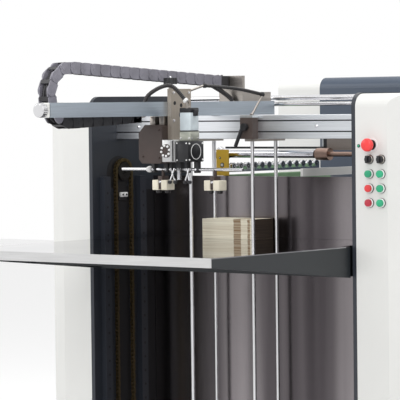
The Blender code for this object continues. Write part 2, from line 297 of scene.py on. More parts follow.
pileMarks = {  # painted rod shadows: each band's two edges, in from the pile's right end, and how soft they are
    "bands": ((0.0767, 0.0437, 0.003), (0.019, 0.0065, 0.002)),
    "shade": shades(142, 116, 86),
    "boardLine": 0.0052,
}


def boards(start, place):  # board edges in layers, with wavy bands of painted shadow from the rods in front, and painted shade on the side faces
    x, _, z = place.split()
    fine = noise(start, stretched(start, place, (3.0, 3.0, 420.0)), 1.0, 2.0)
    layers = noise(start, stretched(start, place, (0.4, 0.4, 130.0)), 1.0, 2.0)
    wave = 0.006 * (noise(start, stretched(start, place, (0.0, 0.0, 70.0)), 1.0, 2.0) - 0.5)
    colour = fine.steps(0.3, 0.62).mix(shades(213, 202, 178), shades(238, 232, 212))
    line = start.sum("FRACT", z / pileMarks["boardLine"], 0.0).above(0.86)
    colour = (0.45 * line * layers.steps(0.4, 0.6)).mix(colour, shades(150, 132, 106))
    # painted shadow of the rods, wavy across the board layers
    for outer, inner, edge in pileMarks["bands"]:
        shifted = x + wave
        low, high = highOf("board_pile", axisX) - outer, highOf("board_pile", axisX) - inner
        inside = shifted.steps(low, low + edge) * (1 - shifted.steps(high - edge, high))
        rodShadow = inside * (0.55 + 0.45 * layers.steps(0.35, 0.6))
        colour = rodShadow.mix(colour, pileMarks["shade"])
    # painted shade: faces that look along X get a dark brown
    side = facing(axisX, 0.7)(start, place)
    shadedSideColour = fine.steps(0.3, 0.7).mix(shades(44, 35, 28), shades(74, 60, 48))
    return {
        "Base Color": side.mix(colour, shadedSideColour),
        "Roughness": 0.8,
        "Normal": bump(start, fine, 0.0008, 0.4),
    }


def mirrorSheet(start, place):
    smear = noise(start, place, 3.0, 4.0)
    scuffs = noise(start, stretched(start, place, (6.0, 260.0, 1.0)), 1.0, 3.0, 0.7)
    return {
        "Base Color": smear.steps(0.35, 0.7).mix(shades(150, 150, 154), shades(176, 174, 176)),
        "Metallic": 1.0,
        "Roughness": 0.025 + 0.05 * scuffs.steps(0.55, 0.8) * smear,
    }


nodeBox = {name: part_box(name) for name in nodes}


def lowOf(name, axis):
    return nodeBox[name][0][axis]


def highOf(name, axis):
    return nodeBox[name][1][axis]


def middleOf(name, axis):
    return (lowOf(name, axis) + highOf(name, axis)) / 2


def centreOf(name):
    return Vector([middleOf(name, axis) for axis in (axisX, axisY, axisZ)])


axisX, axisY, axisZ = 0, 1, 2
alongX, alongY, alongZ = (6.0, 500.0, 500.0), (500.0, 6.0, 500.0), (500.0, 500.0, 6.0)  # grain scales
evenGrain = (300.0, 300.0, 300.0)
steelPaint = anodised(shades(172, 166, 160), 0.36, alongX)
lightSteel = anodised(shades(206, 210, 212), 0.34, alongZ, 0.9)
stripPaint = anodised(shades(214, 214, 214), 0.4, alongX, 0.7)
chromePaint = polished(shades(230, 230, 232), 0.1, alongX)
rodPaint = polished(shades(238, 238, 240), 0.24, alongZ)
blackMould = moulded(shades(26, 26, 29), 0.42)
coatEdges = {  # how far in from its piece's edge each second coat meets the first
    "tableLip": 0.003, "wheelRow": 0.0115, "guideTop": 0.0083, "clampTop": 0.0078,
    "panelBand": 0.0205, "panelEdge": 0.007,
}

paints = {
    "navyEnamel": enamel(shades(44, 48, 56), 0.36),
    "hoodEnamel": enamel(shades(66, 77, 93), 0.34),
    "whiteEnamel": enamel(shades(229, 229, 226), 0.42, drift=0.015),
    "blackEnamel": enamel(shades(34, 38, 42), 0.4),
    "ochreEnamel": enamel(shades(222, 180, 52), 0.38, drift=0.08),
    "beamMetal": anodised(shades(228, 231, 235), 0.34, alongX),
    "armMetal": anodised(shades(186, 196, 206), 0.38, alongY),
    "tableTop": twoCoats(mirrorSheet, stripPaint,
                         before(axisY, lowOf("table_sheet", axisY) + coatEdges["tableLip"])),
    "wallSheet": wallSheet,
    "stripMetal": stripPaint,
    "chrome": chromePaint,
    "rollerChrome": polished(shades(214, 214, 220), 0.16, alongX),
    "groundSteel": steelPaint,
    "bracketSteel": anodised(shades(176, 166, 154), 0.42, alongZ, 0.6),
    "driveSteel": anodised(shades(156, 132, 120), 0.36, alongX),
    "chainSteel": anodised(shades(112, 98, 70), 0.42, evenGrain, 0.9, 0.4),
    "darkSteel": anodised(shades(62, 60, 58), 0.42, evenGrain, 0.9, 0.3),
    "brownCasting": casting(shades(60, 48, 44)),
    "blackPlastic": blackMould,
    "deepBlack": moulded(shades(15, 15, 19), 0.5),
    "whitePlastic": moulded(shades(232, 232, 230), 0.35),
    "greenPlastic": moulded(shades(46, 160, 118), 0.3),
    "chainGrey": moulded(shades(126, 124, 133), 0.5),
    "chainBlack": moulded(shades(40, 39, 42), 0.42),
    "hoseRubber": moulded(shades(30, 27, 28), 0.34),
    "redPlastic": moulded(shades(220, 60, 60), 0.3),
    "greenBelt": moulded(shades(124, 156, 120), 0.6),
    "boardEdges": boards,
    "wheelRow": twoCoats(enamel(shades(62, 62, 34), 0.55, drift=0.3), chromePaint,
                         beyond(axisX, highOf("wheel_rail", axisX) - coatEdges["wheelRow"])),
    "motorShell": moulded(shades(196, 206, 210), 0.34),
    "motorFlange": anodised(shades(188, 190, 178), 0.4, alongX, 0.6),
    "guideLook": twoCoats(rodPaint, steelPaint,
                          beyond(axisZ, highOf("left_side_guide", axisZ) - coatEdges["guideTop"])),
    "redButton": moulded(shades(214, 62, 64), 0.3),
    "darkRedButton": moulded(shades(176, 50, 66), 0.3),
    "creamPlastic": moulded(shades(222, 215, 196), 0.5),
    "clampCoat": twoCoats(casting(shades(70, 60, 56)), lightSteel,
                          beyond(axisZ, highOf("clamp_block", axisZ) - coatEdges["clampTop"])),
    "drivePanel": twoCoats(
        twoCoats(anodised(shades(146, 138, 132), 0.5, alongX, 0.6), blackMould,
                 before(axisX, lowOf("drive_panel", axisX) + coatEdges["panelBand"])),
        lightSteel, before(axisX, lowOf("drive_panel", axisX) + coatEdges["panelEdge"])),
}
finishes = {name: finish(name, paint) for name, paint in paints.items()}

looks = {
    "navyEnamel": ("left_side_plate", "right_side_plate", "conveyor_base"),
    "hoodEnamel": ("rear_hood",),
    "whiteEnamel": ("left_cover", "right_cover", "left_rear_cover", "right_rear_cover", "arm_end_cap",
                    "side_guard"),
    "blackEnamel": ("table_frame", "floor_pan"),
    "ochreEnamel": ("wheel_end_plate",),
    "beamMetal": ("cross_beam",),
    "armMetal": ("cantilever_arm",),
    "tableTop": ("table_sheet",),
    "wallSheet": ("back_wall",),
    "stripMetal": ("valve_block",),
    "chrome": ("upper_bar", "lower_bar", "sucker_bar", "push_rod", "arm_knob", "roller_bracket"),
    "rollerChrome": ("feed_roller",),
    "groundSteel": ("chain_bracket", "knob_post"),
    "bracketSteel": ("head_bracket",),
    "driveSteel": ("roller_drive",),
    "darkSteel": ("left_sprocket", "right_sprocket"),
    "brownCasting": ("head_housing",),
    "blackPlastic": ("star_knob", "clamp_lever", "cam_box", "left_selector", "right_selector"),
    "chainGrey": ("energy_chain",),
    "chainSteel": ("left_lift_chain", "right_lift_chain"),
    "hoseRubber": ("front_hose", "back_hose"),
    "redPlastic": ("emergency_stop",),
    "greenPlastic": ("left_button_1", "right_button_1", "right_button_2", "right_button_3"),
    "redButton": ("left_button_2",),
    "darkRedButton": ("left_button_3",),
    "greenBelt": ("belt_strip",),
    "boardEdges": ("board_pile",),
    "creamPlastic": ("left_sucker", "right_sucker"),
    "wheelRow": ("wheel_rail",),
    "motorShell": ("servo_motor",),
    "guideLook": ("left_side_guide", "right_side_guide"),
    "clampCoat": ("clamp_block",),
    "drivePanel": ("drive_panel",),
}


def dressNodes():
    for look, names in looks.items():
        for name in names:
            materials = nodes[name].data.materials
            materials.clear()
            materials.append(finishes[look])


dressNodes()
print("finishes set:", len(finishes))


class Mould:  # one piece's mesh, put together shape by shape
    def __init__(self):
        self.whole = bmesh.new()

    def add(self, shape, place=None, look=0):
        if place is not None:
            bmesh.ops.transform(shape, matrix=place, verts=shape.verts)
        bmesh.ops.recalc_face_normals(shape, faces=shape.faces)
        for face in shape.faces:
            face.material_index = look
        part = bpy.data.meshes.new("part")
        shape.to_mesh(part)
        shape.free()
        self.whole.from_mesh(part)
        bpy.data.meshes.remove(part)

    def turn(self, profile, sides, place, direction=(0, 0, 1), look=0):
        self.add(turnedShape(profile, sides), at(place, direction), look)

    def block(self, low, high, rounding=0.0, segments=2, look=0):
        self.add(blockShape(low, high, rounding, segments), look=look)


def makePiece(name, mould, coats, stands=(), body="machine"):
    mesh = bpy.data.meshes.new(name)
    mould.whole.to_mesh(mesh)
    mould.whole.free()
    mesh.shade_smooth()
    mesh.set_sharp_from_angle(angle=radians(34))
    for coat in coats:
        mesh.materials.append(finishes[coat])
    made = bpy.data.objects.new(name, mesh)
    bpy.context.scene.collection.objects.link(made)
    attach(made, body)
    if stands:
        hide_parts(*stands)
    return made


def blockShape(low, high, rounding=0.0, segments=2):
    shape = bmesh.new()
    bmesh.ops.create_cube(shape, size=1.0)
    bmesh.ops.scale(shape, vec=[b - a for a, b in zip(low, high)], verts=shape.verts)
    bmesh.ops.translate(shape, vec=[(a + b) / 2 for a, b in zip(low, high)], verts=shape.verts)
    if rounding:
        bmesh.ops.bevel(shape, geom=list(shape.edges), offset=rounding, segments=segments, affect="EDGES",
                        profile=0.5)
    return shape


def circle(radius, sides, start=0.0, sweep=2 * pi):
    closed = abs(sweep - 2 * pi) < 1e-6
    steps = sides if closed else sides - 1
    return [(radius * cos(start + sweep * i / steps), radius * sin(start + sweep * i / steps))
            for i in range(sides)]


def joinRings(shape, rings):
    for near, far in zip(rings, rings[1:]):
        for i in range(len(near)):
            j = (i + 1) % len(near)
            shape.faces.new((near[i], near[j], far[j], far[i]))


def turnedShape(profile, sides):  # distances along Z and radii
    shape = bmesh.new()
    rings = [[shape.verts.new((x, y, along)) for x, y in circle(radius, sides)] for along, radius in profile]
    joinRings(shape, rings)
    shape.faces.new(rings[0])
    shape.faces.new(rings[-1])
    return shape


def plateShape(outline, thickness):  # an outline in XY, thickened both ways along Z
    shape = bmesh.new()
    lower = [shape.verts.new((x, y, -thickness / 2)) for x, y in outline]
    upper = [shape.verts.new((x, y, thickness / 2)) for x, y in outline]
    joinRings(shape, (lower, upper))
    shape.faces.new(lower)
    shape.faces.new(upper)
    return shape


def sweptShape(points, radiusAt, sides=10):  # a hose: rings along the points, each with its own radius
    shape = bmesh.new()
    rings = []
    side = None
    for i, point in enumerate(points):
        ahead = (points[min(i + 1, len(points) - 1)] - points[max(i - 1, 0)]).normalized()
        if side is None:
            side = ahead.orthogonal().normalized()
        side = (side - ahead * side.dot(ahead)).normalized()
        across = ahead.cross(side)
        rings.append([shape.verts.new(point + side * u + across * v) for u, v in circle(radiusAt(i), sides)])
    joinRings(shape, rings)
    shape.faces.new(rings[0])
    shape.faces.new(rings[-1])
    return shape


def smoothRoute(route, steps):
    route = [Vector(point) for point in route]
    ends = [route[0]] + route + [route[-1]]
    points = []
    for a, b, c, d in zip(ends, ends[1:], ends[2:], ends[3:]):
        for i in range(steps):
            t = i / steps
            points.append(((2 * b) + (c - a) * t + (2 * a - 5 * b + 4 * c - d) * t * t
                           + (3 * b - a - 3 * c + d) * t ** 3) / 2)
    return points + [route[-1]]


def evenPoints(points, spacing):
    total = sum((b - a).length for a, b in zip(points, points[1:]))
    count = max(2, round(total / spacing))
    found = []
    run = 0.0
    for a, b in zip(points, points[1:]):
        length = (b - a).length
        while length and len(found) <= count and len(found) * total / count <= run + length + 1e-7:
            found.append(a + (b - a) * ((len(found) * total / count - run) / length))
        run += length
    return found


def at(place, direction=(0, 0, 1)):  # turns local Z to the direction and moves it to the place
    return Matrix.Translation(place) @ Vector(direction).to_track_quat("Z", "Y").to_matrix().to_4x4()


def acrossX(place, ahead):  # local Z along X, local X along the heading in YZ
    ahead = ahead.normalized()
    turn = Matrix(((0, 0, 1), (ahead.x, -ahead.y, 0), (ahead.y, ahead.x, 0)))
    return Matrix.Translation(place) @ turn.to_4x4()


liftChain = {
    "pitch": 0.0127, "thickness": 0.014, "plateRadius": 0.0056, "plate": 0.0013, "roller": 0.0042,
    "pin": 0.0022,
}


def makeLiftChain(side):
    node = side + "_lift_chain"
    low, high = nodeBox[node]
    radius = (high.y - low.y - liftChain["thickness"]) / 2
    middle = (low.y + high.y) / 2
    top, bottom = high.z - radius - liftChain["thickness"] / 2, low.z + radius + liftChain["thickness"] / 2
    loop = [Vector((middle + radius, bottom)), Vector((middle + radius, top))]
    loop += [Vector((middle + u, top + v)) for u, v in circle(radius, 41, 0, pi)[1:]]
    loop += [Vector((middle + u, bottom + v)) for u, v in circle(radius, 41, pi, pi)]
    pins = evenPoints(loop, liftChain["pitch"])[:-1]
    mould = Mould()
    x, width, plate = (low.x + high.x) / 2, high.x - low.x, liftChain["plate"]
    big = liftChain["plateRadius"]
    for i, pin in enumerate(pins):
        after = pins[(i + 1) % len(pins)]
        length = (after - pin).length
        outline = [(u, v) for u, v in circle(big, 4, radians(65), radians(230))]
        outline += [(length + u, v) for u, v in circle(big, 4, radians(-115), radians(230))]
        inset = plate / 2 if i % 2 else 1.6 * plate
        for end in (-1, 1):
            place = Vector((x + end * (width / 2 - inset), pin.x, pin.y))
            mould.add(plateShape(outline, plate), acrossX(place, after - pin))
        place = at((x, pin.x, pin.y), (1, 0, 0))
        rollerHalf = width / 2 - 2.2 * plate
        for half, thick, sides in ((width / 2, liftChain["pin"], 6), (rollerHalf, liftChain["roller"], 8)):
            mould.add(turnedShape([(-half, thick), (half, thick)], sides), place)
    makePiece(side + "_roller_chain", mould, ("chainSteel",), (node,))


for each in ("left", "right"):
    makeLiftChain(each)
print("lift chains linked")

energyChain = {
    "thickness": 0.036, "bendRadius": 0.085, "pitch": 0.046, "plate": 0.0036, "endLength": 0.04,
    "backHeight": 1.545, "lowerEnd": (-0.22, 1.432), "barWidth": 0.014, "barHeight": 0.0036,
    "slim": 0.97, "nearReach": 0.62, "farReach": 0.42, "rim": 0.0062, "shadedBelow": 1.446,
    "cable": 0.0055, "cablePlaces": ((-0.011, -0.004), (0.0, 0.003), (0.011, -0.003)), "cableStep": 0.012,
}


def makeEnergyChain():
    size = energyChain
    low, high = nodeBox["energy_chain"]
    half = size["thickness"] / 2
    centre = Vector((low.y + half + size["bendRadius"], high.z - half - size["bendRadius"]))
    path = [Vector((high.y - size["endLength"] / 2, size["backHeight"]))]
    path += [centre + Vector(each) for each in circle(size["bendRadius"], 31, pi / 2, pi)]
    path.append(Vector(size["lowerEnd"]))
    pins = evenPoints(path, size["pitch"])
    mould = Mould()
    plate, left, right = size["plate"], low.x, high.x
    for a, b in zip(pins, pins[1:]):
        ahead = b - a
        length = ahead.length
        slim, reach, start = half * size["slim"], length * size["nearReach"], length * size["farReach"]
        near = circle(slim, 9, pi / 2, pi) + [(reach, -slim), (reach, slim)]
        far = [(length + u, v) for u, v in circle(half, 11, -pi / 2, pi)]
        far += [(start, half), (start, -half)]
        for x, inward in ((left, 1), (right, -1)):
            # painted shade: links below this height take the black plastic
            look = 1 if (a.y + b.y) / 2 < size["shadedBelow"] else 0
            for outline, inset in ((near, 1.5), (far, 0.5)):  # the near ends lie inside the far ones
                place = acrossX(Vector((x + inward * inset * plate, a.x, a.y)), ahead)
                mould.add(plateShape(outline, plate), place, look)
            rim = turnedShape([(0, size["rim"]), (0.0006, size["rim"] - 0.0004)], 12)
            mould.add(rim, at((x, b.x, b.y), (-inward, 0, 0)), look)
        middle = (a + b) / 2
        heading = ahead.normalized()
        side = Vector((-heading.y, heading.x))
        for way in (-1, 1):
            centreBar = middle + side * way * (half - size["barHeight"] / 2)
            bar = blockShape((-size["barWidth"] / 2, -size["barHeight"] / 2, left + plate / 2),
                             (size["barWidth"] / 2, size["barHeight"] / 2, right - plate / 2), 0.0012, 1)
            mould.add(bar, acrossX(Vector((0, centreBar.x, centreBar.y)), heading), 1)
    for shift, rise in size["cablePlaces"]:
        middleX = (left + right) / 2 + shift
        cable = [Vector((middleX, point.x, point.y + rise)) for point in evenPoints(path, size["cableStep"])]
        mould.add(sweptShape(cable, lambda i: size["cable"], 8), None, 1)
    end = size["endLength"]
    lowerY, lowerZ = size["lowerEnd"]
    ends = (high.y - end, high.y, size["backHeight"]), (lowerY - end / 2, lowerY + end / 2, lowerZ)
    for front, back, z in ends:
        for x in (left, right - 2 * plate):
            mould.block((x, front, z - half), (x + 2 * plate, back, z + half), 0.001, 1, look=1)
        for rise in (-1, 1):
            floor = z + rise * (half - 0.0025)
            strip = blockShape((left + 0.001, front, floor - 0.0024), (right - 0.001, back, floor + 0.0024))
            mould.add(strip, None, 1)
    for y in (high.y - end * 0.75, high.y - end * 0.25):
        mould.turn([(0, 0.0034), (0.004, 0.0034), (0.0046, 0.0028)], 10,
                   (middleOf("energy_chain", axisX), y, size["backHeight"] + half - 0.001), look=1)
    makePiece("energy_chain_links", mould, ("chainGrey", "chainBlack"), ("energy_chain",))


makeEnergyChain()
print("energy chain linked")

hoses = {
    "front": {
        "radius": 0.007, "pitch": 0.0056, "depth": 0.11, "cuffs": "whitePlastic",
        "route": ((-0.16, -0.171, 1.44), (-0.13, -0.18, 1.5), (-0.05, -0.17, 1.53), (0.0, -0.15, 1.48)),
        "stays": (
            ((-0.16, -0.166, 1.434), (-0.16, -0.171, 1.441)),
            ((0.0, -0.143, 1.4605), (0.0, -0.15, 1.481)),
        ),
    },
    "back": {
        "radius": 0.006, "pitch": 0.0052, "depth": 0.12, "cuffs": "blackPlastic",
        "route": ((-0.05, 0.0, 1.53), (0.0, 0.1, 1.52), (0.02, 0.22, 1.5)),
        "stays": (
            ((-0.0775, -0.045, 1.512), (-0.05, 0.001, 1.53)),
            ((0.02, 0.158, 1.4335), (0.02, 0.219, 1.5)),
        ),
    },
}
wires = {
    "radius": 0.0085, "depth": 0.0007, "spacing": 0.0012,
    "route": ((-0.162, 0.19, 1.53), (-0.15, 0.214, 1.515), (-0.133, 0.231, 1.497), (-0.118, 0.238, 1.482)),
}


def makeHoses():
    for name, size in hoses.items():
        points = evenPoints(smoothRoute(size["route"], 24), size["pitch"] / 4)

        def ribbed(i):  # four rings a rib, smooth at both ends
            last = len(points) - 1
            if min(i, last - i) < 6:
                return size["radius"]
            return size["radius"] * (1 - size["depth"] * (1 - cos(i * pi / 2)))
        mould = Mould()
        mould.add(sweptShape(points, ribbed, 12))
        radius = size["radius"]
        for end, ahead in ((points[0], points[1] - points[0]), (points[-1], points[-2] - points[-1])):
            cuff = [(-0.002, radius * 0.8), (0, radius * 1.3), (0.007, radius * 1.3), (0.0085, radius * 1.05)]
            mould.turn(cuff, 14, end, ahead, 1)
        for foot, top in size["stays"]:
            reach = Vector(top) - Vector(foot)
            wide, slim = radius * 1.15, radius * 0.6
            stay = [(0, wide), (0.003, wide), (0.0035, slim), (reach.length, slim)]
            mould.turn(stay, 14, foot, reach, 2)
        coats = ("hoseRubber", size["cuffs"], "groundSteel")
        makePiece(name + "_ribbed_hose", mould, coats, (name + "_hose",))

    def twisted(i):
        return wires["radius"] - wires["depth"] * (1 - cos(i * pi / 2))
    mould = Mould()  # the wires that leave the chain's back end for the arm
    points = evenPoints(smoothRoute(wires["route"], 12), wires["spacing"])
    mould.add(sweptShape(points, twisted, 12))
    makePiece("chain_wires", mould, ("hoseRubber",))


makeHoses()
print("hoses ribbed")

headDetail = {
    "chamfer": 0.026, "bodyTop": 1.407, "edge": 0.003, "rosette": (-0.0665, 1.325, 0.021), "boltCount": 8,
    "fins": (-0.0465, -0.0415, -0.0365, -0.0315), "darkFin": 2, "ringRadius": 0.025,
    "flange": 0.03, "cap": 0.014,
    "bracketHoles": (
        (0.018, 0.045, 0.0062), (0.05, 0.052, 0.0062), (0.082, 0.045, 0.0062), (0.05, 0.082, 0.011),
    ),
    "bracketBolts": ((0.012, 0.012), (0.088, 0.012), (0.012, 0.1), (0.088, 0.1)),
}
footBar = {
    "height": 1.2655, "radius": 0.005, "ends": (-0.3, 0.19), "block": 0.024, "low": 1.2, "high": 1.232,
    "ball": (
        (-0.011, 0.004), (-0.0095, 0.0075), (-0.005, 0.0098), (0.0, 0.0106), (0.005, 0.0098),
        (0.0095, 0.0075), (0.011, 0.004),
    ),
    "clamps": (  # each one's left side and width
        (-0.172, 0.014), (-0.12, 0.016), (-0.098, 0.01), (-0.07, 0.018), (-0.036, 0.012), (0.002, 0.014),
    ),
    "levers": ((-0.092, 0.3), (-0.07, -0.32), (-0.03, 0.26), (-0.012, -0.2)),  # place and lean
    "spring": (-0.052, 0.0062, 0.0011),  # place, radius of its turns, radius of its wire
}


def hexBolt(mould, place, direction, across, look=0):
    washer = across * 0.25
    mould.turn([(0, across * 1.25), (washer, across * 1.25)], 14, place, direction, look)
    head = [(washer, across), (across * 1.1, across), (across * 1.3, across * 0.8)]
    mould.turn(head, 6, place, direction, look)


def ringShape(inner, outer, low, high, sides=24):  # a flat ring with a hole, along Z
    shape = bmesh.new()
    profile = ((low, outer), (high, outer), (high, inner), (low, inner))
    rings = [[shape.verts.new((x, y, along)) for x, y in circle(radius, sides)] for along, radius in profile]
    joinRings(shape, rings + rings[:1])
    return shape


def rounded(shape, width):
    edges = [edge for edge in shape.edges if len(edge.link_faces) == 2 and edge.calc_face_angle(0) > 0.5]
    bmesh.ops.bevel(shape, geom=edges, offset=width, segments=2, affect="EDGES", profile=0.5)
    return shape


faceFront = Matrix.Rotation(pi / 2, 4, "X")  # an outline in XY stands up to face the front


def makeHousing():
    size = headDetail
    low, high = nodeBox["head_housing"]
    cut, top = size["chamfer"], size["bodyTop"]
    outline = [(low.x, low.z + cut * 0.5), (low.x + cut * 0.5, low.z), (high.x - cut * 0.3, low.z),
               (high.x, low.z + cut * 0.3), (high.x, top - 0.006), (high.x - 0.006, top), (low.x + cut, top),
               (low.x, top - cut)]
    mould = Mould()
    body = rounded(plateShape(outline, high.y - low.y), size["edge"])
    mould.add(body, Matrix.Translation((0, middleOf("head_housing", axisY), 0)) @ faceFront)
    for x, width in ((low.x + 0.03, 0.022), (high.x - 0.026, 0.018)):
        pad = blockShape((x, low.y + 0.02, top - 0.004), (x + width, high.y - 0.02, high.z), 0.0015)
        mould.add(pad, None, 1)
    bolts = ((low.x + 0.016, low.z + 0.022), (high.x - 0.012, low.z + 0.018), (high.x - 0.012, top - 0.016))
    for x, z in bolts:
        hexBolt(mould, (x, low.y, z), (0, -1, 0), 0.0028)
    coats = ("brownCasting", "groundSteel")
    makePiece("housing_casting", mould, coats, ("head_housing",))


def makeValve():
    size = headDetail
    low, high = nodeBox["valve_block"]
    x, z, radius = size["rosette"]
    mould = Mould()
    mould.block(low, high, 0.002)
    mould.turn([(-0.001, radius), (0.004, radius), (0.0055, radius - 0.0015)], 36, (x, low.y, z), (0, -1, 0),
               1)
    for u, v in circle(radius * 0.78, size["boltCount"], 0.2):
        hexBolt(mould, (x + u, low.y - 0.0055, z + v), (0, -1, 0), 0.0032, 2)
    for i, fin in enumerate(size["fins"]):
        part = blockShape((fin - 0.0014, low.y - 0.006, low.z + 0.002),
                          (fin + 0.0014, low.y + 0.001, high.z - 0.002), 0.0006, 1)
        mould.add(part, None, 3 if i == size["darkFin"] else 0)
    coats = ("stripMetal", "brownCasting", "whitePlastic", "blackPlastic")
    makePiece("finned_valve", mould, coats, ("valve_block",))


def makeCamBox():
    low, high = nodeBox["cam_box"]
    radius = headDetail["ringRadius"]
    middle = centreOf("cam_box")
    mould = Mould()
    mould.block(low, high, 0.003)
    ringPlace = at((high.x, middle.y, middle.z), (1, 0, 0))
    mould.add(ringShape(radius - 0.0018, radius, -0.001, 0.0012, 36), ringPlace, 1)
    disc = [(-0.001, radius * 0.72), (0.0014, radius * 0.72), (0.002, radius * 0.66)]
    mould.add(turnedShape(disc, 30), ringPlace, 2)
    for y in (low.y + 0.007, high.y - 0.007):
        for z in (low.z + 0.007, high.z - 0.007):
            hexBolt(mould, (high.x, y, z), (1, 0, 0), 0.0024, 1)
    for x in (low.x + 0.006, high.x - 0.006):
        for z in (low.z + 0.006, high.z - 0.006):
            hexBolt(mould, (x, low.y, z), (0, -1, 0), 0.002, 1)
    coats = ("blackPlastic", "whitePlastic", "deepBlack")
    makePiece("cam_case", mould, coats, ("cam_box",))


def makeMotor():
    low, high = nodeBox["servo_motor"]
    flange, cap = low.z + headDetail["flange"], high.z - headDetail["cap"]
    mould = Mould()
    mould.block(low, (high.x, high.y, flange), 0.0025, look=1)
    layers = ((0.0015, flange, flange + 0.003, 0.0, 2), (0.0005, flange + 0.002, cap, 0.0045, 0),
              (0.0, cap - 0.0015, high.z, 0.004, 2))
    for inset, bottom, top, rounding, look in layers:  # gasket, shell and cap
        lowest, highest = (low.x + inset, low.y + inset, bottom), (high.x - inset, high.y - inset, top)
        mould.block(lowest, highest, rounding, 3, look=look)
    plug = (high.x - 0.002, (low.y + high.y) / 2 - 0.008, cap - 0.012)
    mould.block(plug, (high.x + 0.009, plug[1] + 0.016, cap + 0.008), 0.002, look=2)
    for y in (low.y + 0.006, high.y - 0.006):
        hexBolt(mould, (high.x, y, low.z + 0.009), (1, 0, 0), 0.0022, 3)
    for x in (low.x + 0.006, high.x - 0.006):
        hexBolt(mould, (x, low.y, low.z + 0.009), (0, -1, 0), 0.0022, 3)
    coats = ("motorShell", "motorFlange", "blackPlastic", "chrome")
    makePiece("motor_case", mould, coats, ("servo_motor",))


def makeFootBar():
    y = middleOf("sucker_bar", axisY)
    z, radius = footBar["height"], footBar["radius"]
    first, last = footBar["ends"]
    length = last - first
    under = lowOf("head_housing", axisZ)
    mould = Mould()
    bar = [(0, radius * 0.8), (0.001, radius), (length - 0.001, radius), (length, radius * 0.8)]
    mould.turn(bar, 20, (first, y, z), (1, 0, 0))
    mould.turn(footBar["ball"], 18, (lowOf("head_housing", axisX) - 0.006, y, z), (1, 0, 0), 2)
    for x, width in footBar["clamps"]:
        clamp = blockShape((x, y - 0.01, z - 0.011), (x + width, y + 0.011, under + 0.006), 0.0018, 1)
        mould.add(clamp, None, 1)
        hexBolt(mould, (x + width / 2, y - 0.01, z), (0, -1, 0), 0.003)
    for x, lean in footBar["levers"]:
        foot = Vector((x, y - 0.014, z - 0.04))
        reach = Vector((x + lean * 0.06, y - 0.012, z + 0.004)) - foot
        mould.turn([(0, 0.0026), (reach.length, 0.0026)], 10, foot, reach)
        mould.turn([(-0.005, 0.0048), (-0.004, 0.0058), (0.004, 0.0058), (0.005, 0.0048)], 12, foot,
                   (0, 1, 0), 1)
    springX, turns, wire = footBar["spring"]
    spring = [Vector((springX + turns * cos(i * 0.7), y - 0.016 + turns * sin(i * 0.7),
                      z + 0.002 - i * 0.00036)) for i in range(96)]
    mould.add(sweptShape(spring, lambda i: wire, 6))
    makePiece("foot_bar", mould, ("chrome", "blackPlastic", "whitePlastic"),
              ("sucker_bar", "push_rod"))


def makeFoot(side):
    low, high = nodeBox[side + "_sucker"]
    middle, width = (low.x + high.x) / 2, footBar["block"]
    mould = Mould()
    for start in (low.x, high.x - width):
        block = blockShape((start, low.y, footBar["low"]), (start + width, high.y, footBar["high"]), 0.002)
        mould.add(block)
        mould.turn([(0, 0.0075), (0.004, 0.0095), (footBar["low"] - low.z, 0.0095)], 16,
                   (start + width / 2, (low.y + high.y) / 2, low.z), look=2)
    boss = blockShape((middle - 0.009, low.y + 0.003, footBar["low"] + 0.003),
                      (middle + 0.009, high.y - 0.003, high.z), 0.002)
    mould.add(boss, None, 1)
    mould.turn([(0, 0.0055), (footBar["height"] - high.z, 0.0055)], 14,
               (middle, (low.y + high.y) / 2, high.z), look=1)
    hexBolt(mould, (middle, low.y + 0.003, footBar["high"] - 0.006), (0, -1, 0), 0.003, 3)
    coats = ("creamPlastic", "brownCasting", "hoseRubber", "chrome")
    makePiece(side + "_foot", mould, coats, (side + "_sucker",))


def makeBracketDetail():
    low, high = nodeBox["head_bracket"]
    mould = Mould()
    # painted shade: black discs flush on the bracket stand for its holes
    for y, z, radius in headDetail["bracketHoles"]:
        place = (high.x, low.y + y, high.z - z)
        mould.turn([(-0.001, radius), (0.0003, radius)], 24, place, (1, 0, 0))
    for y, z in headDetail["bracketBolts"]:
        hexBolt(mould, (high.x, low.y + y, high.z - z), (1, 0, 0), 0.0034, 1)
    makePiece("bracket_holes", mould, ("deepBlack", "chrome"))


makeHousing()
makeBracketDetail()
makeValve()
makeCamBox()
makeMotor()
makeFootBar()
for each in ("left", "right"):
    makeFoot(each)
print("head fitted out")

knobs = {"flutes": 28, "fluteDepth": 0.0009, "lobes": 7, "lobeDepth": 0.0032, "lobePoints": 84}


